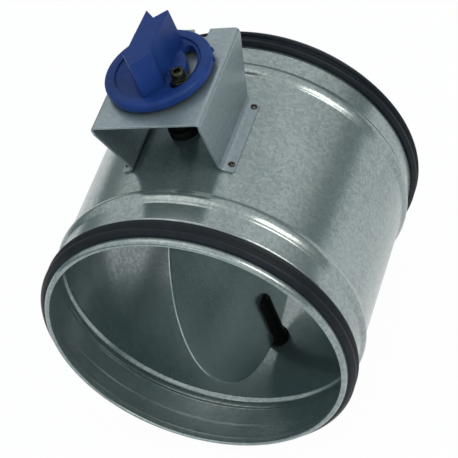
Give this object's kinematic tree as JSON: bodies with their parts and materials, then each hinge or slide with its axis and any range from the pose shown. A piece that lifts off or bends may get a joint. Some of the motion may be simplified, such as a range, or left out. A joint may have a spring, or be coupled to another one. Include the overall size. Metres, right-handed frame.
{
  "type": "volume control damper",
  "caption": "Round duct damper: galvanised tube with beads and lip seals, turning blade on spindles, stand-off shelf with an arrow-grip knob and a locking screw.",
  "frame": {"origin": "centre of the front spigot's open end, on the duct's axis", "axes": "+Y along the duct's axis from the front spigot to the rear one; +Z along the blade's spindles, towards the knob; +X across the duct, on the side of the locking screw"},
  "size_m": [0.2064, 0.189, 0.284],
  "materials": {
    "galvanised_sheet": "zinc-coated sheet with faint spangle",
    "shelf_sheet": "zinc-coated sheet, satin",
    "blade_sheet": "zinc-coated sheet",
    "seal_rubber": "matt black rubber",
    "black_plastic": "moulded black plastic",
    "blue_plastic": "moulded blue plastic, satin",
    "nylon_white": "natural nylon",
    "steel_small": "zinc-plated steel",
    "black_steel": "black oxide steel"
  },
  "bodies": {
    "casing": {"casing_tube": "galvanised_sheet", "front_seal_ring": "seal_rubber", "rear_seal_ring": "seal_rubber", "shelf_bracket": "shelf_sheet", "bracket_rivets": "steel_small", "upper_bush": "black_plastic", "upper_bush_nut": "black_plastic", "upper_o_ring": "seal_rubber", "lower_bush": "black_plastic", "lower_bush_nut": "black_plastic", "lower_o_ring": "seal_rubber", "lower_end_plug": "black_plastic", "shelf_bush": "black_plastic", "lock_nut": "steel_small"},
    "rotor": {"blade_disc": "blade_sheet", "blade_pins": "steel_small", "upper_spindle": "black_plastic", "lower_spindle": "black_plastic", "upper_thrust_washer": "black_plastic", "lower_thrust_washer": "black_plastic", "shaft_coupling": "black_plastic", "coupling_pins": "steel_small", "drive_shaft": "steel_small", "retaining_clip": "steel_small", "friction_washer": "nylon_white", "knob_dial": "blue_plastic"},
    "lock_washers": {"lock_washer": "black_steel", "lock_spring_washer": "steel_small"},
    "lock_bolt": {"lock_screw": "black_steel"}
  },
  "joints": [
    {"name": "blade_turn", "type": "hinge", "parent": "casing", "child": "rotor", "pos_m": [0, 0.0945, 0], "axis": [0, 0, 1], "range_deg": [-78, 12]},
    {"name": "lock_lift", "type": "slide", "parent": "casing", "child": "lock_washers", "axis": [0, 0, 1], "range_m": [0, 0.0016]},
    {"name": "lock_turn", "type": "hinge", "parent": "lock_washers", "child": "lock_bolt", "pos_m": [0.01869, 0.08327, 0.15], "axis": [0, 0, 1], "range_deg": [0, 720]}
  ],
  "couplings": [
    {"joint": "lock_turn", "follows": "lock_lift", "rad_per_m": 7854}
  ]
}
